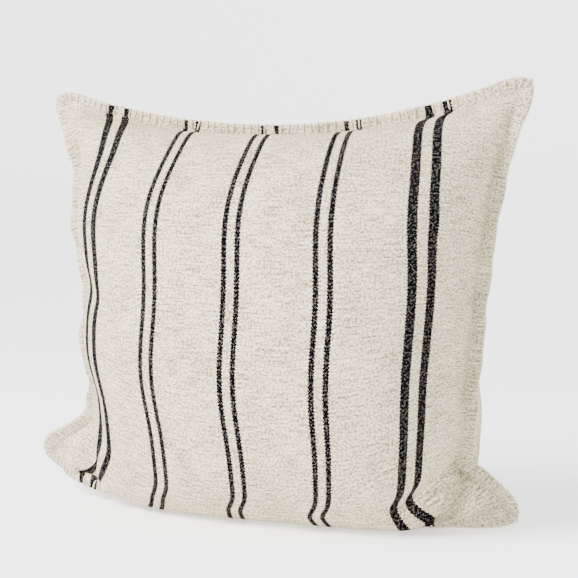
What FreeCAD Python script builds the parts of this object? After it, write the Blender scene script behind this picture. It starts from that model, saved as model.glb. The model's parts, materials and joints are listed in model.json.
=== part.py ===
"""Throw pillow: a square flanged cover with a zip across its back, over a filled insert.

The pillow stands on its lower edge and leans back a little, as on a shelf. +Z is up, the striped front
faces -Y and +X is to its right. Every cloth shape comes from one rule, crown(): two profile curves, one
for the front and one for the back, that close onto the seam line as they near the left and right edges.
All lengths are in millimetres.
"""
import FreeCAD, Part
import math
import os

Vector = FreeCAD.Vector

# Cover
COVER_SIZE = 500.0      # flat cover, stitched edge to stitched edge
FLANGE = 12.0           # flat border outside the seam
CLOTH = 0.9             # thickness of the woven cover cloth
LAYER_GAP = 0.3         # between the two flange layers
SEAM_HALF = COVER_SIZE / 2 - FLANGE
SEAM_SIZE = 2 * SEAM_HALF
FLANGE_S = FLANGE / SEAM_HALF     # flange width in s, which runs -1 to 1 across
FLANGE_T = FLANGE / SEAM_SIZE     # flange width in t, which runs 0 to 1 up the cloth
CORNER_ROUND = 0.72               # how far the flange reaches into its rounded corners

# Standing shape, as (Y, Z) profiles through the middle from the bottom seam to the top seam
FRONT_PROFILE = [(0, 16), (-12, 2), (-30, 0), (-75, 35), (-100, 110), (-103, 200), (-75, 300), (-12, 348),
                 (27, 341)]
BACK_PROFILE = [(0, 16), (12, 2), (34, 0), (80, 20), (102, 90), (102, 190), (85, 275), (55, 325), (27, 341)]
# Side seams run from a foot corner that turns outwards, in to a waist, and out again to the top corner
WAIST = {"left": 166.0, "right": 172.0}           # distance from the middle at the narrowest part
LEAN = {"left": 26.0, "right": 30.0}              # how much wider it has grown at the top
TOP_FLARE = {"left": 35.0, "right": 20.0}
FOOT_FLARE = {"left": 84.0, "right": 34.0}
FOOT_FALL = {"left": 0.11, "right": 0.055}        # in t, how soon the foot's flare has gone
DEPTH = {"left": -6.0, "right": 12.0}             # Y of the seam at the waist
FOOT_BACK = {"left": 50.0, "right": 32.0}         # how far the corners stand back from that
FOOT_BACK_FALL = 0.12
TOP_BACK = {"left": 42.0, "right": 29.0}
FOOT_Z = {"left": 38.0, "right": 14.0}
RISE = {"left": 337.0, "right": 369.0}
SAG = {"left": 20.0, "right": 12.0}
SWAY = 20.0                   # the front cloth's drift to the right, half way up
CROWN_POWER = 2.4             # fullness of the crown towards the sides
CROWN_ROUND = 0.45
FOOT_POWER = 3.0              # extra fullness where it spreads on the floor
FOOT_HEIGHT = 0.22            # in t, how far up that spread reaches
PRESSED = 0.5                 # how far the floor flattens the cloth it carries

# Zip, set across the lower part of the back along a slight arc
ZIP_T = 0.318                 # its place up the back cloth
ZIP_Z = 66.0
ZIP_Y = 100.0                 # inner face of the back cloth at the middle of the zip
ZIP_RADIUS = 650.0
ZIP_HALF = 118.0
SLOT_HALF = 2.4               # half the opening between the two folded cloth edges
SLOT_END_S = 0.80             # where the opening has closed to a seam
ZIP_FLAT_T = 0.05             # cloth beside the zip that follows its arc exactly
ZIP_FADE_T = 0.15
TAPE_WIDTH = 11.0
TAPE = 0.5
COIL_INNER = 0.7              # from the zip's centre line to the nearer face of each coil
COIL_OUTER = 2.2
COIL_DEPTH = 1.35
SLIDER_LENGTH = 9.0
SLIDER_HALF_WIDTH = 3.9
PLATE = 1.0
NECK_HALF = 0.4
PIN_RADIUS = 0.5
PIN_LIFT = 1.6                # pin axis above the slider's outer plate
PULL_LENGTH = 22.0
PULL_THICKNESS = 0.9
SLIDER_REST_X = 110.0

# Insert and trim
CASING_SCALE = 0.93          # the insert is the cover's inside, scaled about CENTRE
FILL_SCALE = 0.922
INSERT_FLARE = (0.15, 0.5)    # it hardly reaches into the cover's turned-out corners
CASING = 0.5
CASING_GAP = 1.2              # between the casing's front and back along their seam
CENTRE = Vector(0, 0, 150)
STITCH_PITCH = 7.7            # blanket stitches along the edge
STITCH_WIDTH = 1.3
THREAD = 0.6
STITCH_CLEAR = 0.3
STITCH_REACH = 5.0            # how far in from the edge each stitch bites
LABEL = (24.0, 0.4, 34.0)

BACK = 1
FRONT = -1


def smooth(x):
    x = min(max(x, 0.0), 1.0)
    return x * x * (3 - 2 * x)


def profile_curve(points):
    curve = Part.BSplineCurve()
    curve.interpolate([Vector(0, y, z) for y, z in points])
    return curve


PROFILES = {FRONT: profile_curve(FRONT_PROFILE), BACK: profile_curve(BACK_PROFILE)}
BACK_LENGTH = PROFILES[BACK].length()


def profile_point(side, t):
    """Point on a profile at the fraction t of its length."""
    curve = PROFILES[side]
    return curve.value(curve.parameterAtDistance(t * curve.length(), curve.FirstParameter))


def side_seam(side, t, flare=(1.0, 1.0)):
    """Point on the left or right seam at the fraction t up the cloth; flare scales the foot and the top."""
    foot = flare[0] * math.exp(-(t / FOOT_FALL[side]) ** 2)
    reach = WAIST[side] + LEAN[side] * t + flare[1] * TOP_FLARE[side] * t ** 6 + FOOT_FLARE[side] * foot
    foot_back = flare[0] * FOOT_BACK[side] * math.exp(-(t / FOOT_BACK_FALL) ** 2)
    y = DEPTH[side] + foot_back + TOP_BACK[side] * t ** 5
    z = FOOT_Z[side] + RISE[side] * t - SAG[side] * math.sin(math.pi * t)
    return Vector(reach if side == "right" else -reach, y, z)


def arc_y(x, radius=ZIP_RADIUS):
    """Y of the zip's arc, whose centre is ZIP_RADIUS in front of the cloth."""
    return ZIP_Y - ZIP_RADIUS + math.sqrt(radius ** 2 - x ** 2)


def flange_out(side, t):
    """The way the side flange points: square to its seam, away from the middle."""
    along = (side_seam(side, t + 0.005) - side_seam(side, t - 0.005)).normalize()
    out = Vector(1 if side == "right" else -1, 0, 0)
    return (out - along * out.dot(along)).normalize()


def crown(s, t, side, flare=(1.0, 1.0)):
    """Inner face of the cover at s across and t up the cloth, within the seams."""
    foot = math.exp(-(t / FOOT_HEIGHT) ** 2)
    left, right = side_seam("left", t, flare), side_seam("right", t, flare)
    front, back = profile_point(FRONT, t), profile_point(BACK, t)
    middle = (front + back) * 0.5
    seam = left if s < 0 else right
    to_side = abs(s) ** (2 + FOOT_POWER * foot)
    fullness = (1 - abs(s) ** (CROWN_POWER + FOOT_POWER * foot)) ** CROWN_ROUND
    outer = front if side == FRONT else back
    point = middle + (seam - middle) * to_side + (outer - middle) * fullness
    point.x = left.x + (right.x - left.x) * (s + 1) / 2
    if side == FRONT:
        point.x += SWAY * (1 - s * s) * max(math.sin(math.pi * t), 0) ** 0.7
    if side == BACK:
        near_x = 1 - smooth((abs(s) - 0.87) / 0.13)
        near_t = 1 - smooth((abs(t - ZIP_T) - ZIP_FLAT_T) / (ZIP_FADE_T - ZIP_FLAT_T))
        weight = near_x * near_t
        point.y += weight * (arc_y(point.x) - point.y)
        point.z += weight * (ZIP_Z + (t - ZIP_T) * BACK_LENGTH - point.z)
    return point


def cover_point(s, t, side):
    """Inner face of the cover, flange included: outside the seam it runs on flat."""
    s_seam = min(max(s, -1.0), 1.0)
    t_seam = min(max(t, 0.0), 1.0)
    point = crown(s_seam, t_seam, side)
    out = flange_out("right" if s > 0 else "left", t_seam) * abs(s - s_seam) * SEAM_HALF
    up = Vector(0, 0, (t - t_seam) * SEAM_SIZE)
    rounding = CORNER_ROUND if s != s_seam and t != t_seam else 1.0
    return point + (out + up) * rounding + Vector(0, side * LAYER_GAP / 2, 0)


def clamped_surface(net):
    """Cubic B-spline face whose control net is the given rows of points."""
    def knots(count):
        inner = count - 4
        return [4] + [1] * inner + [4], [i / (inner + 1) for i in range(inner + 2)]

    row_mults, row_knots = knots(len(net))
    col_mults, col_knots = knots(len(net[0]))
    surface = Part.BSplineSurface()
    surface.buildFromPolesMultsKnots(net, row_mults, col_mults, row_knots, col_knots, False, False, 3, 3)
    return surface


def lifted(net, distance, side):
    """The net moved along its own normals, away from the pillow's inside."""
    result = []
    for i, row in enumerate(net):
        below, above = net[max(i - 1, 0)], net[min(i + 1, len(net) - 1)]
        new_row = []
        for j, point in enumerate(row):
            across = row[min(j + 1, len(row) - 1)] - row[max(j - 1, 0)]
            up = above[j] - below[j]
            normal = across.cross(up)
            new_row.append(point + normal.normalize() * (-side * distance))
        result.append(new_row)
    return result


def border_edges(surface):
    first_row, last_row, first_col, last_col = surface.bounds()
    return [surface.uIso(first_row).toShape(), surface.uIso(last_row).toShape(),
            surface.vIso(first_col).toShape(), surface.vIso(last_col).toShape()]


def sewn_solid(faces):
    shell = Part.makeShell(faces)
    shell.sewShape()
    solid = Part.makeSolid(Part.Shell(shell.Faces))
    if solid.Volume < 0:
        solid.reverse()
    return solid


def cloth_solid(net, thickness, side):
    """A sheet of cloth: the net, the same net lifted, and the strips that join their edges."""
    inner = clamped_surface(net)
    outer = clamped_surface(lifted(net, thickness, side))
    strips = [Part.makeRuledSurface(a, b) for a, b in zip(border_edges(inner), border_edges(outer))]
    return sewn_solid([inner.toShape(), outer.toShape()] + strips)


def spread(start, end, count):
    return [start + (end - start) * i / (count - 1) for i in range(count)]


SEAM_STEPS = [0.92, 0.955, 0.98, 0.992, 1.0]
RIGHT = spread(0, 0.88, 19)[1:] + SEAM_STEPS
COLUMNS = [-s for s in reversed(RIGHT)] + [0.0] + RIGHT
WIDE_COLUMNS = ([-1 - FLANGE_S, -1 - FLANGE_S / 2] + COLUMNS + [1 + FLANGE_S / 2, 1 + FLANGE_S])
FOOT_ROWS = spread(0, 0.24, 13)
NEAR_ZIP = [0.012, 0.03, 0.055]
HIGH_ROWS = spread(0.42, 0.94, 14) + [0.97, 0.985, 1.0]
LOWER_ROWS = [-FLANGE_T, -FLANGE_T / 2] + FOOT_ROWS + [ZIP_T - step for step in reversed(NEAR_ZIP)]
UPPER_ROWS = [ZIP_T + step for step in NEAR_ZIP] + HIGH_ROWS + [1 + FLANGE_T / 2, 1 + FLANGE_T]
INSERT_ROWS = spread(0, 0.24, 9) + spread(0.29, 0.92, 13) + [0.96, 0.985, 1.0]


def slot_half(s):
    return SLOT_HALF + (LAYER_GAP / 2 - SLOT_HALF) * smooth((abs(s) - SLOT_END_S + 0.05) / 0.05)


def front_panel():
    net = [[cover_point(s, t, FRONT) for s in WIDE_COLUMNS] for t in LOWER_ROWS + UPPER_ROWS]
    return cloth_solid(net, CLOTH, FRONT)


def back_panel(upper):
    """The back cloth above or below the zip, ending at the folded edge beside it."""
    sign = 1 if upper else -1
    edge = [cover_point(s, ZIP_T + sign * slot_half(s) / BACK_LENGTH, BACK) for s in WIDE_COLUMNS]
    net = [[cover_point(s, t, BACK) for s in WIDE_COLUMNS] for t in (UPPER_ROWS if upper else LOWER_ROWS)]
    return cloth_solid([edge] + net if upper else net + [edge], CLOTH, BACK)


def insert_net(side, scale):
    def at(s, t):
        return CENTRE + (crown(s, t, side, INSERT_FLARE) - CENTRE) * scale

    return [[at(s, t) for s in COLUMNS] for t in INSERT_ROWS]


def insert_casing(side):
    net = insert_net(side, CASING_SCALE)
    gap = Vector(0, side * CASING_GAP / 2, 0)
    return cloth_solid([[point + gap for point in row] for row in net], CASING, side)


def insert_fill():
    halves = [clamped_surface(insert_net(side, FILL_SCALE)).toShape() for side in (FRONT, BACK)]
    return sewn_solid(halves)


def arc_bar(r_low, r_high, z_low, z_high, x_start, x_end):
    """A bar that follows the zip's arc between two distances along it."""
    axis = Vector(0, ZIP_Y - ZIP_RADIUS, ZIP_Z + z_low)
    start, end = (math.degrees(x / ZIP_RADIUS) for x in (x_start, x_end))
    section = [Part.makeCylinder(r, z_high - z_low, axis, Vector(0, 0, 1), end - start)
               for r in (r_high, r_low)]
    bar = section[0].cut(section[1])
    bar.rotate(axis, Vector(0, 0, 1), 90 - end)
    return bar


def arc_place(shape, x):
    """Turn a shape drawn at the zip's middle along the arc to the distance x."""
    shape.rotate(Vector(0, ZIP_Y - ZIP_RADIUS, 0), Vector(0, 0, 1), -math.degrees(x / ZIP_RADIUS))
    return shape


def zip_block(size_x, r_low, r_high, z_low, z_high):
    """A block at the zip's middle, given by its distances from the arc's centre."""
    base = Vector(-size_x / 2, ZIP_Y + r_low - ZIP_RADIUS, ZIP_Z + z_low)
    return Part.makeBox(size_x, r_high - r_low, z_high - z_low, base)


TAPE_OUT = ZIP_RADIUS - 0.1
COIL_OUT = TAPE_OUT + COIL_DEPTH
PLATE_OUT = COIL_OUT + 0.4 + PLATE
PLATE_IN = TAPE_OUT - TAPE - 0.4
TAPE_HALF = ZIP_HALF + 9.0


def zip_tape(sign):
    low, high = sorted((sign * (COIL_INNER - 0.2), sign * (COIL_INNER + TAPE_WIDTH)))
    return arc_bar(TAPE_OUT - TAPE, TAPE_OUT, low, high, -TAPE_HALF, TAPE_HALF)


def zip_coil(sign):
    low, high = sorted((sign * COIL_INNER, sign * COIL_OUTER))
    return arc_bar(TAPE_OUT, COIL_OUT, low, high, -ZIP_HALF, ZIP_HALF)


def zip_slider():
    """Outer and inner plates, the neck between the coils, and two posts that carry the pull's pin."""
    plate_z = (-SLIDER_HALF_WIDTH, SLIDER_HALF_WIDTH)
    outer = zip_block(SLIDER_LENGTH, PLATE_OUT - PLATE, PLATE_OUT, *plate_z)
    inner = zip_block(SLIDER_LENGTH, PLATE_IN - PLATE, PLATE_IN, *plate_z)
    neck = zip_block(3.0, PLATE_IN - 0.1, PLATE_OUT - PLATE + 0.1, -NECK_HALF, NECK_HALF)
    corners = [edge for plate in (outer, inner) for edge in plate.Edges
               if abs(edge.tangentAt(edge.FirstParameter).y) > 0.9]
    outer = outer.makeFillet(2.0, [edge for edge in corners if outer.distToShape(edge)[0] < 1e-6])
    inner = inner.makeFillet(2.0, [edge for edge in corners if inner.distToShape(edge)[0] < 1e-6])
    posts = [zip_block(2.4, PLATE_OUT - 0.1, PLATE_OUT + PIN_LIFT + 1.0, low, low + 0.8)
             for low in (-2.9, 2.1)]
    pin = Part.makeCylinder(PIN_RADIUS, 5.0, Vector(0, ZIP_Y + PLATE_OUT + PIN_LIFT - ZIP_RADIUS,
                                                    ZIP_Z - 2.5), Vector(0, 0, 1))
    return arc_place(outer.multiFuse([inner, neck, pin] + posts).removeSplitter(), SLIDER_REST_X)


def zip_pull():
    """A flat tab with a knuckle round the pin, lying along the closed zip."""
    pin_y = ZIP_Y + PLATE_OUT + PIN_LIFT - ZIP_RADIUS
    base = Vector(0, pin_y, ZIP_Z - 1.8)
    knuckle = Part.makeCylinder(1.15, 3.6, base, Vector(0, 0, 1))
    stem = Part.makeBox(4.0, PULL_THICKNESS, 3.6, Vector(-4.4, pin_y - PULL_THICKNESS / 2, ZIP_Z - 1.8))
    tab = Part.makeBox(PULL_LENGTH - 4, PULL_THICKNESS, 6.0,
                       Vector(-PULL_LENGTH, pin_y - PULL_THICKNESS / 2, ZIP_Z - 3.0))
    rounded = [edge for edge in tab.Edges if abs(edge.tangentAt(edge.FirstParameter).y) > 0.9]
    tab = tab.makeFillet(1.4, rounded)
    eye = Part.makeCylinder(1.3, 4.0, Vector(-PULL_LENGTH + 3.4, pin_y - 2, ZIP_Z), Vector(0, 1, 0))
    hole = Part.makeCylinder(PIN_RADIUS + 0.1, 3.8, base - Vector(0, 0, 0.1), Vector(0, 0, 1))
    pull = knuckle.multiFuse([stem, tab]).cut(eye).cut(hole).removeSplitter()
    return arc_place(pull, SLIDER_REST_X)


def zip_end(x, spans):
    """Metal stops just past one end of the coils, one block per span of heights."""
    blocks = [arc_place(zip_block(2.0, TAPE_OUT, COIL_OUT + 0.15, low, high), x) for low, high in spans]
    return Part.makeCompound(blocks)


def zip_stitches(sign):
    """The row of lock stitches that holds one tape, seen on the back cloth."""
    pitch, length = 3.6, 2.7
    height = sign * (SLOT_HALF + 5.0)
    count = int(2 * ZIP_HALF / pitch)
    r_low = ZIP_RADIUS + CLOTH + 0.15
    dashes = [arc_place(zip_block(length, r_low, r_low + 0.35, height - 0.2, height + 0.2),
                        (i - (count - 1) / 2) * pitch) for i in range(count)]
    return Part.makeCompound(dashes)


def blanket_stitch():
    """One U of thread round a flange edge at the origin: the edge runs along X, the flange down -Z."""
    face = LAYER_GAP / 2 + CLOTH + STITCH_CLEAR
    inner = [(-face, -STITCH_REACH), (-face, STITCH_CLEAR), (face, STITCH_CLEAR), (face, -STITCH_REACH)]
    outer = [(face + THREAD, -STITCH_REACH), (face + THREAD, STITCH_CLEAR + THREAD),
             (-face - THREAD, STITCH_CLEAR + THREAD), (-face - THREAD, -STITCH_REACH)]
    points = [Vector(-STITCH_WIDTH / 2, y, z) for y, z in inner + outer]
    return Part.Face(Part.makePolygon(points + points[:1])).extrude(Vector(STITCH_WIDTH, 0, 0))


def edge_stitches(edge_at, inside_at, eased_over):
    """Blanket stitches along one edge; the two functions give the edge and the seam beside it.

    The cloth's surface eases round its net by a sixth of the way to each neighbour, and so do they.
    """
    def eased(at, f):
        return (at(f - eased_over) + at(f) * 4 + at(f + eased_over)) * (1 / 6)

    steps = int(SEAM_SIZE * 0.94 / STITCH_PITCH)
    stitches = []
    for i in range(steps):
        f = 0.03 + 0.94 * (i + 0.5) / steps
        at, inside = eased(edge_at, f), eased(inside_at, f)
        along = (eased(edge_at, f + 0.002) - eased(edge_at, f - 0.002)).normalize()
        out = at - inside
        out = (out - along * out.dot(along)).normalize()
        across = out.cross(along)
        turn = FreeCAD.Matrix(along.x, across.x, out.x, at.x, along.y, across.y, out.y, at.y,
                              along.z, across.z, out.z, at.z, 0, 0, 0, 1)
        stitches.append(blanket_stitch().transformGeometry(turn))
    return Part.makeCompound(stitches)


def flange_middle(s, t):
    return (cover_point(s, t, FRONT) + cover_point(s, t, BACK)) * 0.5


def level_stitches(t_seam, t_edge):
    """Stitches along the top or bottom edge."""
    def edge(f):
        return flange_middle(2 * f - 1, t_edge)

    def seam(f):
        return flange_middle(2 * f - 1, t_seam)

    return edge_stitches(edge, seam, 0.024)


def side_stitches(sign):
    def edge(f):
        return flange_middle(sign * (1 + FLANGE_S), f)

    def seam(f):
        return flange_middle(sign, f)

    return edge_stitches(edge, seam, 0.02)


def care_label():
    """A blank ribbon label inside the cover, against the back cloth above the zip."""
    width, depth, height = LABEL
    at = crown(-0.45, ZIP_T + 0.05, BACK)
    label = Part.makeBox(width, depth, height, Vector(-width / 2, -1.6, 0))
    label.rotate(Vector(0, 0, 0), Vector(0, 0, 1), math.degrees(-at.x / ZIP_RADIUS))
    label.translate(at)
    return label


FLOOR_Z = PRESSED - CLOTH


def rested(panel):
    """The panel with the little that the floor presses flat taken off."""
    return panel.cut(Part.makeBox(1000, 1000, 100, Vector(-500, -500, FLOOR_Z - 100)))


nodes = {
    "front_panel": rested(front_panel()),
    "back_panel_upper": back_panel(upper=True),
    "back_panel_lower": rested(back_panel(upper=False)),
    "insert_casing_front": insert_casing(FRONT),
    "insert_casing_back": insert_casing(BACK),
    "insert_fill": insert_fill(),
    "zip_tape_upper": zip_tape(1),
    "zip_tape_lower": zip_tape(-1),
    "zip_coil_upper": zip_coil(1),
    "zip_coil_lower": zip_coil(-1),
    "zip_slider": zip_slider(),
    "zip_pull": zip_pull(),
    "zip_top_stops": zip_end(ZIP_HALF + 1.2, [(-2.3, -0.5), (0.5, 2.3)]),
    "zip_bottom_stop": zip_end(-ZIP_HALF - 1.2, [(-2.3, 2.3)]),
    "zip_stitches_upper": zip_stitches(1),
    "zip_stitches_lower": zip_stitches(-1),
    "edge_stitches_top": level_stitches(1, 1 + FLANGE_T),
    "edge_stitches_bottom": level_stitches(0, -FLANGE_T),
    "edge_stitches_left": side_stitches(-1),
    "edge_stitches_right": side_stitches(1),
    "care_label": care_label(),
}

# The origin is the middle of the whole pillow's footprint, on the floor
box = Part.makeCompound(list(nodes.values())).optimalBoundingBox(False, False)
home = Vector(-box.Center.x, -box.Center.y, -FLOOR_Z)

os.makedirs("parts", exist_ok=True)
for name, shape in nodes.items():
    shape.translate(home)
    shape.exportStep(f"parts/{name}.step")
    print(f"{name:22} solids {len(shape.Solids):3}  valid {shape.isValid()}  volume {shape.Volume:12.1f}")

arc_centre = Vector(0, ZIP_Y - ZIP_RADIUS, ZIP_Z) + home
pin = arc_place(Part.Vertex(0, ZIP_Y + PLATE_OUT + PIN_LIFT - ZIP_RADIUS, ZIP_Z), SLIDER_REST_X).Point + home
print("arc centre", arc_centre, "pull pin", pin)
print("size", box.XLength, box.YLength, box.ZLength, "below the floor", FLOOR_Z - box.ZMin)
for face in nodes["back_panel_lower"].Faces:
    if face.Surface.TypeId == "Part::GeomPlane" and face.normalAt(0, 0).z < -0.99:
        print("rests on", face.CenterOfMass, "area", face.Area)
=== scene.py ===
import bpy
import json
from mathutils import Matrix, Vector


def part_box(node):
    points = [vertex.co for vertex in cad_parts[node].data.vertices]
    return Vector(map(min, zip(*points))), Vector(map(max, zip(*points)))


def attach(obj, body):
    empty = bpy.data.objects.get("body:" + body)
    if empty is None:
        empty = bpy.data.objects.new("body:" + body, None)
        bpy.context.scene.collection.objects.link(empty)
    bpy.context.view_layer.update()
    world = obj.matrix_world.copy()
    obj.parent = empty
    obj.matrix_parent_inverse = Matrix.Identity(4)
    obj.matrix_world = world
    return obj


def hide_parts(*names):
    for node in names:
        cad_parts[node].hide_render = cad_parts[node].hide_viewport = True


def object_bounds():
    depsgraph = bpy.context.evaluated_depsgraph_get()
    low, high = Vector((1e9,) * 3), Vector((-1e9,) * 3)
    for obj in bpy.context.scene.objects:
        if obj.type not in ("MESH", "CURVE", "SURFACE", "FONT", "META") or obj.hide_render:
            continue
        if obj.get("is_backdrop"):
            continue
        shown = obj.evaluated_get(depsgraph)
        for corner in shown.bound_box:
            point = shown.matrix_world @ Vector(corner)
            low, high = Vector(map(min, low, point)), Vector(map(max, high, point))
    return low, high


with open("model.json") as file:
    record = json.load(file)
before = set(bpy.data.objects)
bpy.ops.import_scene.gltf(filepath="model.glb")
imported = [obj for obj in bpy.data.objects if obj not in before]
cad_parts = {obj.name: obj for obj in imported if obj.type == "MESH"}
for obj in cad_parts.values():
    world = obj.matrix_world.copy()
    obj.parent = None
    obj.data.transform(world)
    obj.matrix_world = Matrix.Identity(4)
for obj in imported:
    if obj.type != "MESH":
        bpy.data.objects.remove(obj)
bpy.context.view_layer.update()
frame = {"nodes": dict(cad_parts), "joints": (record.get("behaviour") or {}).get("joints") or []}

import json
import math

import bpy
import numpy as np
from mathutils import Matrix, Vector

scene = bpy.context.scene

# ---------------------------------------------------------------------------------------------------
# Camera. Level with the middle of the pillow's front, turned towards its right side and a little above
# it. It is made first, so that everything after it can be looked at.
# ---------------------------------------------------------------------------------------------------
zip_arc = Vector(next(joint for joint in frame["joints"] if joint["name"] == "zip_slide")["pos_m"])
middle_x = zip_arc.x                       # the cover is drawn about this X, the middle of the zip
VIEW_TURN = math.radians(24.5)
VIEW_DROP = math.radians(4.3)
VIEW_DISTANCE = 1.692
look_at = Vector((middle_x + 0.010, 0.022, 0.206))
away = Vector((math.sin(VIEW_TURN) * math.cos(VIEW_DROP), -math.cos(VIEW_TURN) * math.cos(VIEW_DROP),
               math.sin(VIEW_DROP)))
camera = bpy.data.objects.new("camera", bpy.data.cameras.new("camera"))
camera.data.sensor_width = 36
camera.data.lens = 116.4
camera.location = look_at + away * VIEW_DISTANCE
camera.rotation_euler = (-away).to_track_quat("-Z", "Y").to_euler()
scene.collection.objects.link(camera)
scene.camera = camera


# ---------------------------------------------------------------------------------------------------
# Cover cloth. Coarse plain-weave cotton in oatmeal, with five pairs of black warp stripes. The pattern
# is drawn on the flat cloth, in metres from the middle of the bottom seam, so it follows every fold.
# ---------------------------------------------------------------------------------------------------
def new_material(name, rough, sheen=0.0):
    made = bpy.data.materials.new(name)
    made.use_nodes = True
    shader = made.node_tree.nodes["Principled BSDF"]
    shader.inputs["Roughness"].default_value = rough
    shader.inputs["Sheen Weight"].default_value = sheen
    return made, made.node_tree, shader


def place(tree, kind, inputs=(), **settings):
    """Adds a node, sets it up, and feeds its inputs with links or plain values."""
    node = tree.nodes.new(kind)
    for name, value in settings.items():
        setattr(node, name, value)
    for socket, value in dict(inputs).items():
        if isinstance(value, bpy.types.NodeSocket):
            tree.links.new(value, node.inputs[socket])
        else:
            node.inputs[socket].default_value = value
    return node


def sums(tree, operation, *values):
    return place(tree, "ShaderNodeMath", enumerate(values), operation=operation).outputs[0]


def mixed(tree, share, first, second):
    node = place(tree, "ShaderNodeMix", data_type="RGBA")
    for socket, value in ((0, share), (6, first), (7, second)):
        if isinstance(value, bpy.types.NodeSocket):
            tree.links.new(value, node.inputs[socket])
        else:
            node.inputs[socket].default_value = value
    return node.outputs[2]


def noise(tree, where, scale, stretch=(1, 1, 1), detail=2.0):
    mapped = place(tree, "ShaderNodeMapping", {"Vector": where, "Scale": stretch}).outputs[0]
    return place(tree, "ShaderNodeTexNoise", {"Vector": mapped, "Scale": scale, "Detail": detail}).outputs[0]


def step(tree, value, low, high):
    return place(tree, "ShaderNodeMapRange", {"Value": value, "From Min": low, "From Max": high},
                 interpolation_type="SMOOTHSTEP").outputs[0]


def bumped(tree, shader, height, depth):
    bump = place(tree, "ShaderNodeBump", {"Height": height, "Distance": depth, "Strength": 1.0})
    tree.links.new(bump.outputs[0], shader.inputs["Normal"])


OATMEAL = (0.10, 0.070, 0.036, 1)
OATMEAL_LIGHT = (1.0, 0.89, 0.63, 1)
FLECK = (0.16, 0.11, 0.07, 1)
BLACK_YARN = (0.002, 0.002, 0.003, 1)
CREAM_SPECK = (0.26, 0.24, 0.21, 1)
WARP_PITCH, WEFT_PITCH = 0.0017, 0.0020
SCALLOP = 0.0030                                  # a black line's edge steps in and out this often
STRIPE_MIDDLE, STRIPE_SPACING = -0.008, 0.084
INNER_HALF, OUTER_HALF = 0.0063, 0.0090           # from a pair's middle to the middle of each line
INNER_LINE, OUTER_LINE = 0.0027, 0.0045           # half the width of a line

cover_cloth, tree, shader = new_material("cover cloth", 0.95)
shader.inputs["Specular IOR Level"].default_value = 0.0
flat = place(tree, "ShaderNodeUVMap", uv_map="cloth").outputs[0]
wobble = noise(tree, flat, 1.0, (9, 7, 1), 2.0)
apart = place(tree, "ShaderNodeSeparateXYZ", {0: flat})
across, along = apart.outputs[0], apart.outputs[1]
drift = sums(tree, "MULTIPLY", sums(tree, "SUBTRACT", wobble, 0.5), 0.0022)
bent_across = sums(tree, "ADD", across, drift)

# the threads: raised where each passes over, with slubs that run along the weft
warp = sums(tree, "SINE", sums(tree, "MULTIPLY", bent_across, 2 * math.pi / WARP_PITCH))
bent_along = sums(tree, "ADD", along, drift)
weft = sums(tree, "SINE", sums(tree, "MULTIPLY", bent_along, 2 * math.pi / WEFT_PITCH))
over = sums(tree, "MULTIPLY", warp, weft)
slub = noise(tree, flat, 1.0, (55, 520, 1), 3.0)
warp_slub = noise(tree, flat, 1.0, (620, 45, 1), 2.0)
height = sums(tree, "ADD", sums(tree, "MULTIPLY", over, 0.32),
              sums(tree, "ADD", sums(tree, "MULTIPLY", slub, 1.25), sums(tree, "MULTIPLY", warp_slub, 0.5)))

# the stripes: which pair, then which line of it, with a stepped edge where single threads end
from_middle = sums(tree, "SUBTRACT", bent_across, STRIPE_MIDDLE)
in_pair = sums(tree, "WRAP", from_middle, STRIPE_SPACING / 2, -STRIPE_SPACING / 2)
is_outer = sums(tree, "GREATER_THAN", sums(tree, "ABSOLUTE", from_middle), 1.5 * STRIPE_SPACING)
line_at = sums(tree, "ADD", INNER_HALF, sums(tree, "MULTIPLY", is_outer, OUTER_HALF - INNER_HALF))
line_half = sums(tree, "ADD", INNER_LINE, sums(tree, "MULTIPLY", is_outer, OUTER_LINE - INNER_LINE))
from_line = sums(tree, "ABSOLUTE", sums(tree, "SUBTRACT", sums(tree, "ABSOLUTE", in_pair), line_at))
scallop = sums(tree, "SINE", sums(tree, "MULTIPLY", along, 2 * math.pi / SCALLOP))
ragged = sums(tree, "ADD", sums(tree, "MULTIPLY", scallop, 0.0005),
              sums(tree, "MULTIPLY", sums(tree, "SUBTRACT", slub, 0.5), 0.0012))
black = step(tree, sums(tree, "SUBTRACT", sums(tree, "ADD", line_half, ragged), from_line), -0.0002, 0.0003)
black = sums(tree, "MULTIPLY", black,
             sums(tree, "LESS_THAN", sums(tree, "ABSOLUTE", from_middle), 2.5 * STRIPE_SPACING))

grain = noise(tree, flat, 1.0, (480, 480, 1), 1.0)
cloud = noise(tree, flat, 1.0, (30, 22, 1), 3.0)
# cloth colour: slubs, grain and cloud are the cloth's own random tone; the weave term is painted shade,
# lighter on the raised threads and darker in the hollows between them
tone_and_weave_shade = sums(tree, "ADD", sums(tree, "MULTIPLY", step(tree, slub, 0.3, 0.7), 0.38),
            sums(tree, "ADD", sums(tree, "MULTIPLY", step(tree, grain, 0.38, 0.60), 0.52),
                 sums(tree, "ADD", sums(tree, "MULTIPLY", step(tree, over, -1.0, 1.0), 0.15),
                      sums(tree, "MULTIPLY", step(tree, cloud, 0.3, 0.7), 0.12))))
plain = mixed(tree, tone_and_weave_shade, OATMEAL, OATMEAL_LIGHT)
flecks = noise(tree, flat, 1.0, (330, 700, 1), 1.0)
plain = mixed(tree, sums(tree, "MULTIPLY", step(tree, flecks, 0.71, 0.78), 0.55), plain, FLECK)
specks = sums(tree, "MULTIPLY", step(tree, grain, 0.50, 0.60), step(tree, over, 0.1, 0.5))
yarn = mixed(tree, specks, BLACK_YARN, CREAM_SPECK)
tree.links.new(mixed(tree, black, plain, yarn), shader.inputs["Base Color"])
bumped(tree, shader, height, 0.0011)

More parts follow.
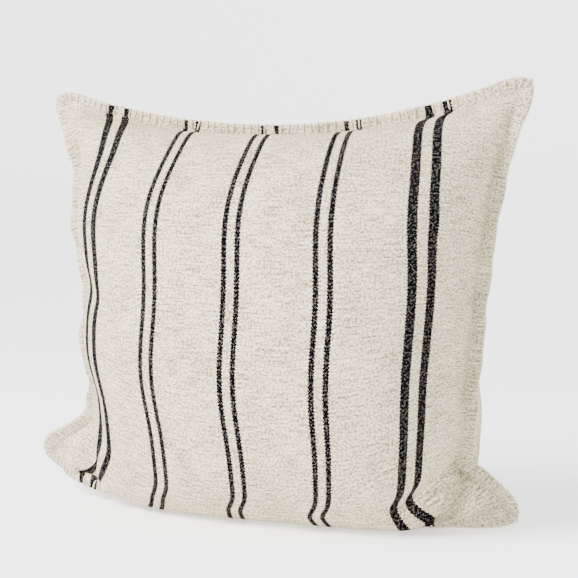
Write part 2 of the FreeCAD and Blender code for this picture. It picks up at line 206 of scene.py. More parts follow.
# ---------------------------------------------------------------------------------------------------
# Cover shape. Front and back are cut 476 mm square inside the seams and stand on a folded foot: two
# profiles, front and back, close onto side seams that turn out at the corners, the left one most.
# ---------------------------------------------------------------------------------------------------
CELLS = 96                                  # grid cells from seam to seam
SEAM_SIZE = 0.476
FLANGE = 0.012
CLOTH = 0.0009
ZIP_ROW = 27                                # the slot for the zip is the row of cells above this one
ZIP_AT = (ZIP_ROW + 0.5) / CELLS
SLOT_END = 0.72                             # the slot has closed this far out, as a share of half the width
ZIP_ARC = 0.650                             # the zip follows an arc of this radius,
ZIP_BACK, ZIP_HEIGHT = 0.100, 0.066         # this far back and up where it crosses the middle
FRONT_PROFILE = [(0, 16), (-12, 2), (-30, 0), (-75, 35), (-100, 110), (-103, 200), (-75, 300), (-12, 348),
                 (27, 341)]
BACK_PROFILE = [(0, 16), (12, 2), (34, 0), (80, 20), (102, 90), (102, 190), (85, 275), (55, 325), (27, 341)]
WAIST = (0.166, 0.172)                      # left and right: from the middle to the narrowest part
LEAN = (0.026, 0.030)                       # how much wider it has grown at the top
TOP_FLARE = (0.035, 0.020)
FOOT_FLARE = (0.084, 0.038)
FOOT_FALL = (0.11, 0.085)                   # how soon, going up, the foot's flare has gone
DEPTH = (-0.006, 0.012)
FOOT_BACK = (0.050, 0.032)
TOP_BACK = (0.042, 0.029)
FOOT_Z = (0.038, 0.014)
RISE = (0.337, 0.369)
SAG = (0.020, 0.012)
PINCH, PINCH_AT, PINCH_WIDE = 0.013, 0.125, 0.028      # the right seam is nipped in by a crease here
SWAY = 0.021                                # the front's drift to the right, half way up
FOOT_HEIGHT = 0.22                          # the foot is fuller up to about here,
HEEL_HEIGHT = 0.09                          # and its left end draws back below here
home = Vector((middle_x, zip_arc.y + ZIP_ARC - ZIP_BACK, zip_arc.z - ZIP_HEIGHT))


def rounded(points):
    """Cuts the corners of a line three times over, which leaves a smooth curve through its middle."""
    line = np.array(points, float)
    for _ in range(3):
        cut = np.empty((2 * len(line), line.shape[1]))
        cut[0], cut[-1] = line[0], line[-1]
        cut[1:-1:2] = line[:-1] * 0.75 + line[1:] * 0.25
        cut[2:-1:2] = line[:-1] * 0.25 + line[1:] * 0.75
        line = cut
    return line


def evenly(line, count):
    """The same line, with its points at even steps along it."""
    run = np.concatenate([[0], np.cumsum(np.linalg.norm(np.diff(line, axis=0), axis=1))])
    steps = np.linspace(0, run[-1], count)
    return np.stack([np.interp(steps, run, line[:, k]) for k in range(line.shape[1])], 1)


def eased(x):
    x = np.clip(x, 0, 1)
    return x * x * (3 - 2 * x)


def side_seam(side, t, flare=(1.0, 1.0)):
    """Points on the left (0) or right (1) seam at the shares t of the way up."""
    foot = flare[0] * np.exp(-(t / FOOT_FALL[side]) ** 2)
    wave = 0.0035 * np.sin(2 * math.pi * 3.2 * t) * eased((t - 0.15) / 0.2) * (1 - side)
    pinch = PINCH * side * flare[0] * np.exp(-((t - PINCH_AT) / PINCH_WIDE) ** 2)
    reach = (WAIST[side] + LEAN[side] * t + flare[1] * TOP_FLARE[side] * t ** 6 + FOOT_FLARE[side] * foot
             + wave - pinch)
    y = (DEPTH[side] + pinch / 2 + flare[0] * FOOT_BACK[side] * np.exp(-(t / 0.12) ** 2)
         + TOP_BACK[side] * t ** 5)
    z = FOOT_Z[side] + RISE[side] * t - SAG[side] * np.sin(math.pi * t)
    return np.stack([reach if side else -reach, y, z], -1)


def panels(flare=(1.0, 1.0)):
    """Front and back as grids of points, rows from the bottom seam up and columns from left to right."""
    t = np.linspace(0, 1, CELLS + 1)
    profiles = [evenly(rounded(points), CELLS + 1) / 1000 for points in (FRONT_PROFILE, BACK_PROFILE)]
    middle = sum(profiles) / 2
    seams = side_seam(0, t, flare), side_seam(1, t, flare)
    q = np.linspace(-1, 1, 4 * CELLS + 1)
    out, right = np.abs(q)[:, None], q[:, None] > 0
    made = []
    for profile, sway in zip(profiles, (SWAY, 0.0)):
        rows = []
        for j in range(CELLS + 1):
            foot, heel = math.exp(-(t[j] / FOOT_HEIGHT) ** 2), math.exp(-(t[j] / HEEL_HEIGHT) ** 2)
            to_side = out ** np.where(right, 2 + 6 * foot, 2 + 2.2 * foot)
            power = np.where(right, 2.7 + 3 * foot, 2.3 + 1.4 * foot - 1.7 * heel)
            full = (1 - out ** power) ** np.where(right, 0.36 + 0.1 * foot, 0.50 + 0.1 * foot + 0.35 * heel)
            seam = np.where(right, seams[1][j], seams[0][j])
            x = seams[0][j, 0] + (seams[1][j, 0] - seams[0][j, 0]) * (q + 1) / 2
            x = x + sway * (1 - q * q) * math.sin(math.pi * t[j]) ** 0.7
            yz = middle[j] + (seam[:, 1:] - middle[j]) * to_side + (profile[j] - middle[j]) * full
            rows.append(evenly(np.column_stack([x, yz]), CELLS + 1))
        made.append(np.array(rows))
    front, back = made
    s = np.linspace(-1, 1, CELLS + 1)[None, :]
    near = (1 - eased((np.abs(s) - 0.80) / 0.18)) * (1 - eased((np.abs(t[:, None] - ZIP_AT) - 0.04) / 0.10))
    on_arc = ZIP_BACK - ZIP_ARC + np.sqrt(ZIP_ARC ** 2 - back[..., 0] ** 2)
    back[..., 1] += near * (on_arc - back[..., 1])
    back[..., 2] += near * (ZIP_HEIGHT + (t[:, None] - ZIP_AT) * SEAM_SIZE - back[..., 2])
    return front + np.array(home), back + np.array(home)


front_grid, back_grid = panels()
shares = np.linspace(-1, 1, CELLS + 1)
heights = np.linspace(0, 1, CELLS + 1)
CREASES = [(0.72, 0.07, 0.985, 0.125, 0.015, 0.024), (-0.97, 0.17, -0.70, 0.03, 0.012, 0.030),
           (-0.99, 0.62, -0.72, 0.52, 0.003, 0.030), (0.99, 0.80, 0.74, 0.70, 0.003, 0.030),
           (0.99, 0.42, 0.80, 0.36, 0.003, 0.024)]
for s_from, t_from, s_to, t_to, deep, wide in CREASES:
    # a fold from one place to another on the front, given across and up, with its depth and width
    start, way = np.array((s_from / 2, t_from)), np.array((s_to - s_from, 2 * (t_to - t_from))) / 2
    cell = np.stack(np.broadcast_arrays(shares[None, :] / 2, heights[:, None]), -1) - start
    share = (cell @ way) / (way @ way)
    off = np.linalg.norm(cell - np.clip(share, 0, 1)[..., None] * way, axis=-1) / wide
    fold = np.exp(-off ** 2) - 0.45 * np.exp(-(off - 1.6) ** 2)
    from_side = eased((1 - np.abs(shares)[None, :]) / 0.05)
    from_end = eased(np.minimum(heights, 1 - heights)[:, None] / 0.02)
    front_grid[..., 1] += deep * fold * from_side * from_end
for edge in (np.s_[:, 0], np.s_[:, -1], np.s_[0], np.s_[-1]):
    back_grid[edge] = front_grid[edge]
flat_grid = np.stack(np.broadcast_arrays(shares[None, :] * SEAM_SIZE / 2, heights[:, None] * SEAM_SIZE), -1)

# one mesh for the simulation: both panels share the seam, and the flange is three rings round it
count = (CELLS + 1) ** 2
front_ids = np.arange(count).reshape(CELLS + 1, CELLS + 1)
back_ids = front_ids.copy()
back_ids[1:-1, 1:-1] = count + np.arange((CELLS - 1) ** 2).reshape(CELLS - 1, CELLS - 1)
first_ring = count + (CELLS - 1) ** 2
loop = np.array([(0, i) for i in range(CELLS)] + [(j, CELLS) for j in range(CELLS)]
                + [(CELLS, i) for i in range(CELLS, 0, -1)] + [(j, 0) for j in range(CELLS, 0, -1)])
sideways = (loop[:, 1] == CELLS) * 1.0 - (loop[:, 1] == 0) * 1.0
upward = (loop[:, 0] == CELLS) * 1.0 - (loop[:, 0] == 0) * 1.0
seam_line = front_grid[loop[:, 0], loop[:, 1]]
tangent = np.roll(seam_line, -2, 0) - np.roll(seam_line, 2, 0)
tangent /= np.linalg.norm(tangent, axis=1)[:, None]
out_way = np.stack([sideways, 0 * sideways, upward], -1)
at_corner = (sideways != 0) & (upward != 0)
square = out_way - tangent * (out_way * tangent).sum(1)[:, None] * (~at_corner)[:, None]
square /= np.linalg.norm(square, axis=1)[:, None]
for _ in range(6):
    square = (np.roll(square, 1, 0) + square + np.roll(square, -1, 0)) / 3
square /= np.linalg.norm(square, axis=1)[:, None]
RINGS = 3
RIPPLES, RIPPLE_DEPTH = (23, 41), 0.0016    # waves all the way round the flange, and their size
flat_out = np.stack([sideways, upward], -1)
rings, flat_rings = [seam_line], [flat_grid[loop[:, 0], loop[:, 1]]]
place_on_loop = np.arange(len(loop)) / len(loop)
for ring in range(1, RINGS + 1):
    reach = FLANGE * ring / RINGS
    waves = sum(np.sin(2 * math.pi * times * place_on_loop) for times in RIPPLES)
    ripple = RIPPLE_DEPTH * ring / RINGS * waves
    rings.append(seam_line + square * reach + np.stack([0 * ripple, ripple, 0 * ripple], -1))
    flat_rings.append(flat_rings[0] + flat_out * reach)
ring_ids = [front_ids[loop[:, 0], loop[:, 1]]] + [first_ring + r * len(loop) + np.arange(len(loop))
                                                 for r in range(RINGS)]
inside = np.s_[1:-1, 1:-1]
points = np.concatenate([front_grid.reshape(-1, 3), back_grid[inside].reshape(-1, 3)] + rings[1:])
flat_points = np.concatenate([flat_grid.reshape(-1, 2), flat_grid[inside].reshape(-1, 2)] + flat_rings[1:])
points[:, 2] = np.maximum(points[:, 2], 0.0012)


def grid_faces(ids, turned=False):
    faces = np.stack([ids[:-1, :-1], ids[:-1, 1:], ids[1:, 1:], ids[1:, :-1]], -1).reshape(-1, 4)
    return faces[:, ::-1] if turned else faces


flange_faces = np.concatenate([np.stack([ring_ids[r], ring_ids[r + 1], np.roll(ring_ids[r + 1], -1),
                                         np.roll(ring_ids[r], -1)], -1) for r in range(RINGS)])
all_faces = np.concatenate([grid_faces(front_ids), grid_faces(back_ids, turned=True), flange_faces])


def settled(points):
    """Lets the drawn shape give a little under the pressure of its filling; the zip's strip is held."""
    rest = np.column_stack([flat_points[:, 0], 0 * flat_points[:, 0], flat_points[:, 1]])
    mesh = bpy.data.meshes.new("settling cloth")
    mesh.from_pydata(points.tolist(), [], all_faces.tolist())
    cloth = bpy.data.objects.new("settling cloth", mesh)
    scene.collection.objects.link(cloth)
    cloth.shape_key_add(name="Basis")
    cut = cloth.shape_key_add(name="cut")
    cut.data.foreach_set("co", rest.astype(np.float32).ravel())
    cut.value = 0
    hold = np.full(len(points), 0.0)
    edge = np.minimum(np.minimum(heights[:, None], 1 - heights[:, None]) * 2, 1 - np.abs(shares)[None, :])
    hold[front_ids] = hold[back_ids] = 0.12 + 0.18 * eased((edge - 0.05) / 0.30)
    hold[ring_ids[0]] = hold[first_ring:] = 0.70
    strip = (np.abs(heights[:, None] - ZIP_AT) < 3.2 / CELLS) & (np.abs(shares)[None, :] < SLOT_END + 0.03)
    hold[back_ids[strip]] = 1.0
    hold = np.round(hold * 40) / 40
    group = cloth.vertex_groups.new(name="hold")
    for level in np.unique(hold[hold > 0]):
        group.add(np.nonzero(hold == level)[0].tolist(), float(level), "REPLACE")
    filled = cloth.vertex_groups.new(name="filled")
    filled.add(list(range(first_ring)), 1.0, "REPLACE")
    modifier = cloth.modifiers.new("Cloth", "CLOTH")
    settings = modifier.settings
    settings.quality = 6
    settings.mass = 0.3
    settings.tension_stiffness = settings.compression_stiffness = 25
    settings.shear_stiffness = 8
    settings.bending_stiffness = 1.5
    settings.tension_damping = settings.compression_damping = settings.shear_damping = 5
    settings.bending_damping = 1
    settings.air_damping = 2
    settings.vertex_group_mass = "hold"
    settings.pin_stiffness = 0.05
    settings.rest_shape_key = cut
    settings.use_pressure = True
    settings.uniform_pressure_force = 5
    settings.vertex_group_pressure = "filled"
    settings.effector_weights.gravity = 0.0
    modifier.collision_settings.distance_min = 0.001
    modifier.collision_settings.collision_quality = 3
    bpy.ops.mesh.primitive_cube_add(size=2, location=(0, 0, -1))
    ground = bpy.context.object
    ground.modifiers.new("Collision", "COLLISION")
    ground.collision.thickness_outer = 0.001
    ground.collision.cloth_friction = 20
    frames = 16
    modifier.point_cache.frame_start, modifier.point_cache.frame_end = 1, frames
    for number in range(1, frames + 1):
        scene.frame_set(number)
    result = cloth.evaluated_get(bpy.context.evaluated_depsgraph_get()).to_mesh()
    moved = np.zeros(len(points) * 3, np.float32)
    result.vertices.foreach_get("co", moved)
    moved = moved.reshape(-1, 3).astype(float)
    bpy.data.objects.remove(cloth)
    bpy.data.objects.remove(ground)
    scene.frame_set(1)
    shift = moved - points
    far = np.linalg.norm(shift, axis=1)
    print("cloth moved", far.mean().round(4), "at most", far.max().round(4))
    return points + shift * (np.minimum(far, 0.010) / np.maximum(far, 1e-9))[:, None]


points = settled(points)


def cloth_piece(name, faces, layer):
    """A piece of the cover from some of the faces: its own mesh, cut pattern and thickness."""
    used, renumbered = np.unique(faces, return_inverse=True)
    mesh = bpy.data.meshes.new(name)
    at = points[used].copy()
    at += layer[used]
    mesh.from_pydata(at.tolist(), [], renumbered.reshape(-1, 4).tolist())
    cut = mesh.uv_layers.new(name="cloth")
    corners = np.array([corner.vertex_index for corner in mesh.loops])
    cut.data.foreach_set("uv", flat_points[used][corners].astype(np.float32).ravel())
    mesh.polygons.foreach_set("use_smooth", [True] * len(mesh.polygons))
    mesh.materials.append(cover_cloth)
    piece = bpy.data.objects.new(name, mesh)
    scene.collection.objects.link(piece)
    finer = piece.modifiers.new("finer", "SUBSURF")
    finer.levels = finer.render_levels = 1
    finer.uv_smooth = "NONE"
    thick = piece.modifiers.new("thickness", "SOLIDIFY")
    thick.thickness = CLOTH
    thick.offset = 1
    return piece


LAYER_GAP = 0.00015
forward = np.zeros((len(points), 3))
ring_normals = np.cross(tangent, square)
ring_normals *= np.sign(ring_normals[:, 1])[:, None] * -1
for ids in ring_ids:
    forward[ids] = ring_normals * LAYER_GAP
front_cover = cloth_piece("front_cover", np.concatenate([grid_faces(front_ids), flange_faces]), forward)

upper_back = grid_faces(back_ids[ZIP_ROW + 1:], turned=True)
closed_ends = np.abs(shares[:-1] + 1 / CELLS) > SLOT_END
ends = grid_faces(back_ids[ZIP_ROW:ZIP_ROW + 2], turned=True)[closed_ends]
lower_back = grid_faces(back_ids[:ZIP_ROW + 1], turned=True)
ring_height = np.tile(np.maximum(loop[:, 0], np.roll(loop[:, 0], -1)), RINGS)
is_upper = ring_height > ZIP_ROW
upper_faces = np.concatenate([upper_back, ends, flange_faces[is_upper][:, ::-1]])
lower_faces = np.concatenate([lower_back, flange_faces[~is_upper][:, ::-1]])
upper_cover = cloth_piece("back_cover_upper", upper_faces, -forward)
lower_cover = cloth_piece("back_cover_lower", lower_faces, -forward)
for piece, node in ((front_cover, "front_panel"), (upper_cover, "back_panel_upper"),
                    (lower_cover, "back_panel_lower")):
    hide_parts(node)
    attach(piece, "cover")

# ---------------------------------------------------------------------------------------------------
# Edge stitches. Thick cream yarn whipped over the flange by hand, at an uneven slant, with a thread
# laid along the very edge. One piece for each side of the pillow.
# ---------------------------------------------------------------------------------------------------
edge_yarn, tree, shader = new_material("edge yarn", 0.9, 0.3)
where = place(tree, "ShaderNodeTexCoord").outputs["Object"]
strands = noise(tree, where, 900, (1, 1, 1), 2.0)
tint = mixed(tree, strands, (0.44, 0.37, 0.27, 1), (0.80, 0.72, 0.57, 1))
tree.links.new(tint, shader.inputs["Base Color"])
bumped(tree, shader, strands, 0.0004)

YARN = 0.00080                               # radius
STITCH_PITCH = 0.0077
STITCH_REACH = 0.0088


def yarn_stitch():
    """One stitch, as a bent tube: up one face of the flange, over its edge and down the other."""
    face = LAYER_GAP + CLOTH + 0.6 * YARN
    up = [(face - 0.0012, -STITCH_REACH), (face, -STITCH_REACH + 0.001), (face + 0.0003, -0.004),
          (face, 0.0006)]
    route = rounded(up + [(-y, z) for y, z in reversed(up)])
    route = evenly(route, 15)
    ways = np.gradient(route, axis=0)
    ways /= np.linalg.norm(ways, axis=1)[:, None]
    corners, sides = [], 6
    for (y, z), (way_y, way_z) in zip(route, ways):
        for k in range(sides):
            turn = 2 * math.pi * k / sides
            rise = YARN * math.sin(turn)
            corners.append((YARN * math.cos(turn), y - rise * way_z, z + rise * way_y))
    faces = [(a + k, a + (k + 1) % sides, a + sides + (k + 1) % sides, a + sides + k)
             for a in range(0, (len(route) - 1) * sides, sides) for k in range(sides)]
    faces += [tuple(range(sides))[::-1], tuple((len(route) - 1) * sides + k for k in range(sides))]
    mesh = bpy.data.meshes.new("stitch")
    mesh.from_pydata(corners, [], faces)
    mesh.polygons.foreach_set("use_smooth", [True] * len(faces))
    return bpy.data.objects.new("stitch", mesh)


def new_inputs(tree, wanted):
    """Names a tree's inputs and returns the socket of each."""
    tree.interface.new_socket(name="Geometry", in_out="OUTPUT", socket_type="NodeSocketGeometry")
    return {name: tree.interface.new_socket(name=name, in_out="INPUT", socket_type="NodeSocket" + kind)
            for name, kind in wanted.items()}


def along_a_line(name):
    """The tree for what repeats along a line: one copied piece at each step, and a thread on the line."""
    tree = bpy.data.node_groups.new(name, "GeometryNodeTree")
    sockets = new_inputs(tree, {"Geometry": "Geometry", "Piece": "Object", "Pitch": "Float", "Slant": "Float",
                                "Thread": "Float", "Seed": "Int", "Finish": "Material"})
    given = tree.nodes.new("NodeGroupInput").outputs
    line = place(tree, "GeometryNodeMeshToCurve", {0: given["Geometry"]}).outputs[0]
    steps = place(tree, "GeometryNodeResampleCurve", {"Curve": line, "Length": given["Pitch"]}, mode="LENGTH")
    out = place(tree, "GeometryNodeInputNamedAttribute", {"Name": "out"}, data_type="FLOAT_VECTOR").outputs[0]
    way = place(tree, "GeometryNodeInputTangent").outputs[0]
    turned = place(tree, "FunctionNodeAxesToRotation", {0: out, 1: way}, primary_axis="Z", secondary_axis="X")
    piece = place(tree, "GeometryNodeObjectInfo", {"Object": given["Piece"]}, transform_space="ORIGINAL")
    copies = place(tree, "GeometryNodeInstanceOnPoints",
                   {"Points": steps.outputs[0], "Instance": piece.outputs["Geometry"],
                    "Rotation": turned.outputs[0]})
    least = place(tree, "ShaderNodeMath", {0: given["Slant"], 1: -1.0}, operation="MULTIPLY").outputs[0]
    slant = place(tree, "FunctionNodeRandomValue", data_type="FLOAT")
    floats = [socket for socket in slant.inputs if socket.enabled and socket.type == "VALUE"]
    tree.links.new(least, floats[0])
    tree.links.new(given["Slant"], floats[1])
    tree.links.new(given["Seed"], slant.inputs["Seed"])
    lean = place(tree, "ShaderNodeCombineXYZ", {"Y": next(s for s in slant.outputs if s.enabled)}).outputs[0]
    leaned = place(tree, "GeometryNodeRotateInstances", {"Instances": copies.outputs[0], "Rotation": lean})
    ring = place(tree, "GeometryNodeCurvePrimitiveCircle", {"Resolution": 6, "Radius": given["Thread"]})
    thread = place(tree, "GeometryNodeCurveToMesh", {"Curve": line, "Profile Curve": ring.outputs[0]})
    joined = tree.nodes.new("GeometryNodeJoinGeometry")
    tree.links.new(thread.outputs[0], joined.inputs[0])
    tree.links.new(leaned.outputs[0], joined.inputs[0])
    real = place(tree, "GeometryNodeRealizeInstances", {0: joined.outputs[0]}).outputs[0]
    smooth = place(tree, "GeometryNodeSetShadeSmooth", {"Geometry": real}).outputs[0]
    finished = {"Geometry": smooth, "Material": given["Finish"]}
    done = place(tree, "GeometryNodeSetMaterial", finished).outputs[0]
    tree.links.new(done, tree.nodes.new("NodeGroupOutput").inputs[0])
    return tree, {name: socket.identifier for name, socket in sockets.items()}


def made_by(tree, identifiers, name, line, outs, **inputs):
    """Runs a tree on one line of points and returns the plain mesh object that it makes."""
    base = bpy.data.meshes.new(name)
    base.from_pydata(line.tolist(), [(i, i + 1) for i in range(len(line) - 1)], [])
    held = base.attributes.new("out", "FLOAT_VECTOR", "POINT")
    held.data.foreach_set("vector", outs.astype(np.float32).ravel())
    maker = bpy.data.objects.new(name, base)
    scene.collection.objects.link(maker)
    modifier = maker.modifiers.new(name, "NODES")
    modifier.node_group = tree
    for key, value in inputs.items():
        modifier[identifiers[key]] = value
    bpy.context.view_layer.update()
    mesh = bpy.data.meshes.new_from_object(maker.evaluated_get(bpy.context.evaluated_depsgraph_get()))
    maker.modifiers.clear()
    maker.data = mesh
    return maker


repeated, repeated_inputs = along_a_line("along a line")
stitch = yarn_stitch()
scene.collection.objects.link(stitch)
edge_line, inner_line = points[ring_ids[RINGS]], points[ring_ids[0]]
edge_outs = edge_line - inner_line
edge_outs /= np.linalg.norm(edge_outs, axis=1)[:, None]
for seed, side in enumerate(("bottom", "right", "top", "left")):
    ids = (np.arange(CELLS + 1) + seed * CELLS) % len(loop)
    line = edge_line[ids] + edge_outs[ids] * YARN * 0.6
    piece = made_by(repeated, repeated_inputs, "yarn_" + side, line, edge_outs[ids], Piece=stitch,
                    Pitch=STITCH_PITCH, Slant=0.20, Thread=YARN * 0.9, Seed=seed, Finish=edge_yarn)
    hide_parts("edge_stitches_" + side)
    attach(piece, "cover")
bpy.data.objects.remove(stitch)

# ---------------------------------------------------------------------------------------------------
# Insert. A cushion of loose polyester in a plain white cotton casing, a little smaller than the cover,
# whose corners it leaves empty. Both stay inside the closed cover.
# ---------------------------------------------------------------------------------------------------
def cushion(name, scale, lumps, finish):
    """A closed cushion shaped like the cover's inside, drawn in about the middle and lightly lumped."""
    centre = np.array(home) + (0, 0, 0.150)
    front, back = ((panel - centre) * scale + centre for panel in panels(flare=(0.15, 0.5)))
    for edge in (np.s_[:, 0], np.s_[:, -1], np.s_[0], np.s_[-1]):
        back[edge] = front[edge]
    at = np.concatenate([front.reshape(-1, 3), back[1:-1, 1:-1].reshape(-1, 3)])
    from_centre = at - centre
    wave = sum(np.sin(at @ np.array(way) + turn) for way, turn in LUMPS) / len(LUMPS)
    at = centre + from_centre * (1 - lumps * (1 + wave))[:, None]
    mesh = bpy.data.meshes.new(name)
    closed = np.concatenate([grid_faces(front_ids), grid_faces(back_ids, turned=True)])
    mesh.from_pydata(at.tolist(), [], closed.tolist())
    mesh.polygons.foreach_set("use_smooth", [True] * len(mesh.polygons))
    mesh.materials.append(finish)
    piece = bpy.data.objects.new(name, mesh)
    scene.collection.objects.link(piece)
    return piece


LUMPS = [((90, 40, 60), 0.3), ((-50, 80, 110), 1.7), ((130, -60, 30), 4.1), ((-20, 30, 170), 2.2)]
casing_cotton, tree, shader = new_material("casing cotton", 0.85)
where = place(tree, "ShaderNodeTexCoord").outputs["Object"]
fine = noise(tree, where, 1400)
tree.links.new(mixed(tree, fine, (0.80, 0.80, 0.79, 1), (0.93, 0.93, 0.92, 1)), shader.inputs["Base Color"])
bumped(tree, shader, fine, 0.0002)
filling, tree, shader = new_material("polyester filling", 1.0, 0.3)
where = place(tree, "ShaderNodeTexCoord").outputs["Object"]
tufts = noise(tree, where, 160, (1, 1, 1), 6.0)
tree.links.new(mixed(tree, tufts, (0.84, 0.84, 0.85, 1), (0.97, 0.97, 0.97, 1)), shader.inputs["Base Color"])
bumped(tree, shader, tufts, 0.004)
for name, scale, lumps, finish, slot, nodes in (
        ("insert_casing", 0.905, 0.006, casing_cotton, "casing_cloth",
         ("insert_casing_front", "insert_casing_back")),
        ("insert_filling", 0.885, 0.009, filling, "fill", ("insert_fill",))):
    piece = cushion(name, scale, lumps, finish)
    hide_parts(*nodes)
    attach(piece, "cover")

# ---------------------------------------------------------------------------------------------------
# Zip. Nylon coils on woven tapes behind a slot in the back, with a brass slider, pull and end stops.
# The coils are rows of small loops; the rest of the zip keeps its own solids and gets its finishes.
# ---------------------------------------------------------------------------------------------------
coil_nylon, tree, shader = new_material("coil nylon", 0.38)
where = place(tree, "ShaderNodeTexCoord").outputs["Object"]
cloudy = noise(tree, where, 500)
tree.links.new(mixed(tree, cloudy, (0.66, 0.60, 0.50, 1), (0.78, 0.73, 0.63, 1)), shader.inputs["Base Color"])
COIL_PITCH, COIL_WIRE = 0.0013, 0.00030


def coil_loop(sign):
    """One turn of the coil: a flat loop of wire whose nose points at the other coil."""
    turns = np.linspace(0, 2 * math.pi, 12, endpoint=False)
    low, high, depth = 0.0008, 0.0021, 0.00045
    corners = []
    for turn in turns:
        middle = np.array((0, depth * math.sin(turn), (low + high) / 2 + (high - low) / 2 * math.cos(turn)))
        out = np.array((0, math.sin(turn), math.cos(turn)))
        for k in range(5):
            angle = 2 * math.pi * k / 5
            sideways_by = np.array((COIL_WIRE * math.sin(angle), 0, 0))
            corner = middle + out * COIL_WIRE * math.cos(angle) + sideways_by
            corners.append((corner[0], corner[1], corner[2] * sign))
    faces = []
    for a in range(len(turns)):
        b = (a + 1) % len(turns)
        for k in range(5):
            face = (a * 5 + k, a * 5 + (k + 1) % 5, b * 5 + (k + 1) % 5, b * 5 + k)
            faces.append(face if sign > 0 else face[::-1])
    mesh = bpy.data.meshes.new("coil loop")
    mesh.from_pydata(corners, [], faces)
    mesh.polygons.foreach_set("use_smooth", [True] * len(faces))
    return bpy.data.objects.new("coil loop", mesh)


for sign, which in ((1, "upper"), (-1, "lower")):
    low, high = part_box("zip_coil_" + which)
    half = (high.x - low.x) / 2 - 0.001
    radius = ZIP_ARC + 0.0006
    turns = np.linspace(-half / radius, half / radius, 121)
    outs = np.stack([0 * turns, 0 * turns, 0 * turns + 1], -1)
    line = np.stack([zip_arc.x + radius * np.sin(turns), zip_arc.y + radius * np.cos(turns),
                     0 * turns + zip_arc.z], -1)
    base = line + outs * sign * 0.0019
    tooth = coil_loop(sign)
    tooth.data.transform(Matrix.Translation((0, 0, -0.0019 * sign)))
    scene.collection.objects.link(tooth)
    piece = made_by(repeated, repeated_inputs, "coil_" + which, base, outs, Piece=tooth,
                    Pitch=COIL_PITCH, Slant=0.0, Thread=0.0002, Seed=0, Finish=coil_nylon)
    bpy.data.objects.remove(tooth)
    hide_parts("zip_coil_" + which)
    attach(piece, "cover")

tape_weave, tree, shader = new_material("tape weave", 0.8)
where = place(tree, "ShaderNodeTexCoord").outputs["Object"]
ribs = place(tree, "ShaderNodeTexWave", {"Vector": where, "Scale": 260.0, "Distortion": 0.6},
             bands_direction="DIAGONAL").outputs[1]
tree.links.new(mixed(tree, ribs, (0.50, 0.44, 0.35, 1), (0.66, 0.60, 0.50, 1)), shader.inputs["Base Color"])
bumped(tree, shader, ribs, 0.0002)

brass, tree, shader = new_material("brass", 0.32)
shader.inputs["Metallic"].default_value = 1.0
where = place(tree, "ShaderNodeTexCoord").outputs["Object"]
tarnish = noise(tree, where, 220, (1, 1, 1), 4.0)
tint = mixed(tree, tarnish, (0.55, 0.38, 0.17, 1), (0.80, 0.60, 0.32, 1))
tree.links.new(tint, shader.inputs["Base Color"])
polish = place(tree, "ShaderNodeMapRange", {"Value": tarnish, "To Min": 0.25, "To Max": 0.5}).outputs[0]
tree.links.new(polish, shader.inputs["Roughness"])

thread, tree, shader = new_material("sewing thread", 0.6, 0.1)
where = place(tree, "ShaderNodeTexCoord").outputs["Object"]
twist = noise(tree, where, 2600)
tree.links.new(mixed(tree, twist, (0.72, 0.65, 0.54, 1), (0.90, 0.85, 0.76, 1)), shader.inputs["Base Color"])
bumped(tree, shader, twist, 0.0001)

ribbon, tree, shader = new_material("label ribbon", 0.5, 0.1)
where = place(tree, "ShaderNodeTexCoord").outputs["Object"]
satin = noise(tree, where, 1.0, (200, 200, 3000), 1.0)
tree.links.new(mixed(tree, satin, (0.86, 0.86, 0.85, 1), (0.95, 0.95, 0.94, 1)), shader.inputs["Base Color"])
bumped(tree, shader, satin, 0.00008)

FINISHES = {tape_weave: ("zip_tape_upper", "zip_tape_lower"),
            brass: ("zip_slider", "zip_pull", "zip_top_stops", "zip_bottom_stop"),
            thread: ("zip_stitches_upper", "zip_stitches_lower")}
for finish, nodes in FINISHES.items():
    for node in nodes:
        frame["nodes"][node].data.materials.clear()
        frame["nodes"][node].data.materials.append(finish)

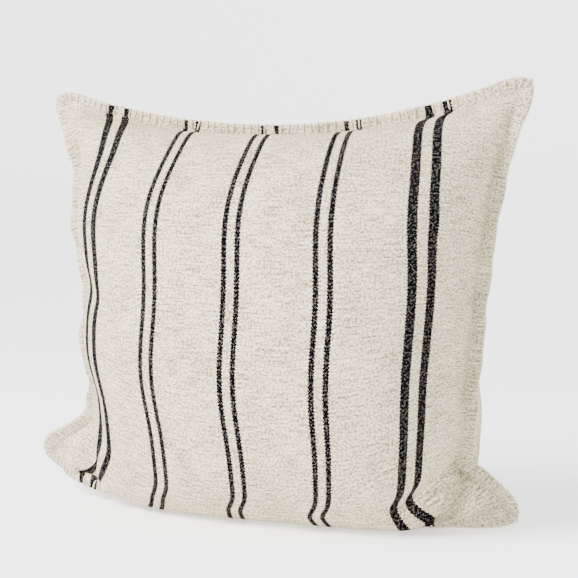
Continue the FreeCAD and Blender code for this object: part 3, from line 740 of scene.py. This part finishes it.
# ---------------------------------------------------------------------------------------------------
# Care label. A blank satin ribbon, sewn inside the back and lying against it above the zip.
# ---------------------------------------------------------------------------------------------------
patch = back_ids[ZIP_ROW + 5:ZIP_ROW + 13, 24:30]
inward = np.array((0, -0.0016, 0))
label_mesh = bpy.data.meshes.new("label")
label_mesh.from_pydata((points[patch].reshape(-1, 3) + inward).tolist(), [],
                       grid_faces(np.arange(patch.size).reshape(patch.shape), turned=True).tolist())
label_mesh.polygons.foreach_set("use_smooth", [True] * len(label_mesh.polygons))
label_mesh.materials.append(ribbon)
label = bpy.data.objects.new("label", label_mesh)
scene.collection.objects.link(label)
thick = label.modifiers.new("thickness", "SOLIDIFY")
thick.thickness = 0.0004
thick.offset = -1
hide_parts("care_label")
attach(label, "cover")

# ---------------------------------------------------------------------------------------------------
# Floor and light. A pale sweep of paper and broad soft lamps, from the left and above.
# ---------------------------------------------------------------------------------------------------
paper, tree, shader = new_material("paper", 0.9)
shader.inputs["Base Color"].default_value = (0.93, 0.93, 0.93, 1)
shader.inputs["Emission Color"].default_value = (1, 1, 1, 1)
shader.inputs["Emission Strength"].default_value = 0.9
profile = rounded([(-3, 0), (1.2, 0), (2.6, 0), (3.0, 0.4), (3.0, 3.5)])
sweep_mesh = bpy.data.meshes.new("sweep")
sweep_mesh.from_pydata([(x, y, z) for x in (-6, 6) for y, z in profile], [],
                       [(i, i + 1, len(profile) + i + 1, len(profile) + i) for i in range(len(profile) - 1)])
sweep_mesh.polygons.foreach_set("use_smooth", [True] * len(sweep_mesh.polygons))
sweep_mesh.materials.append(paper)
sweep = bpy.data.objects.new("sweep", sweep_mesh)
scene.collection.objects.link(sweep)
sweep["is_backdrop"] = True

world = bpy.data.worlds.new("studio")
world.use_nodes = True
world.node_tree.nodes["Background"].inputs[0].default_value = (1, 1, 1, 1)
world.node_tree.nodes["Background"].inputs[1].default_value = 1.3
scene.world = world
for name, power, size, spot in (("key", 260, 1.2, (-1.3, -1.7, 2.0)), ("fill", 22, 2.0, (2.0, -1.8, 1.0))):
    lamp = bpy.data.lights.new(name, "AREA")
    lamp.energy, lamp.size = power, size
    holder = bpy.data.objects.new(name, lamp)
    holder.location = spot
    holder.rotation_euler = (Vector((0, 0, 0.2)) - Vector(spot)).to_track_quat("-Z", "Y").to_euler()
    scene.collection.objects.link(holder)

low, high = (list(corner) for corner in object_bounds())
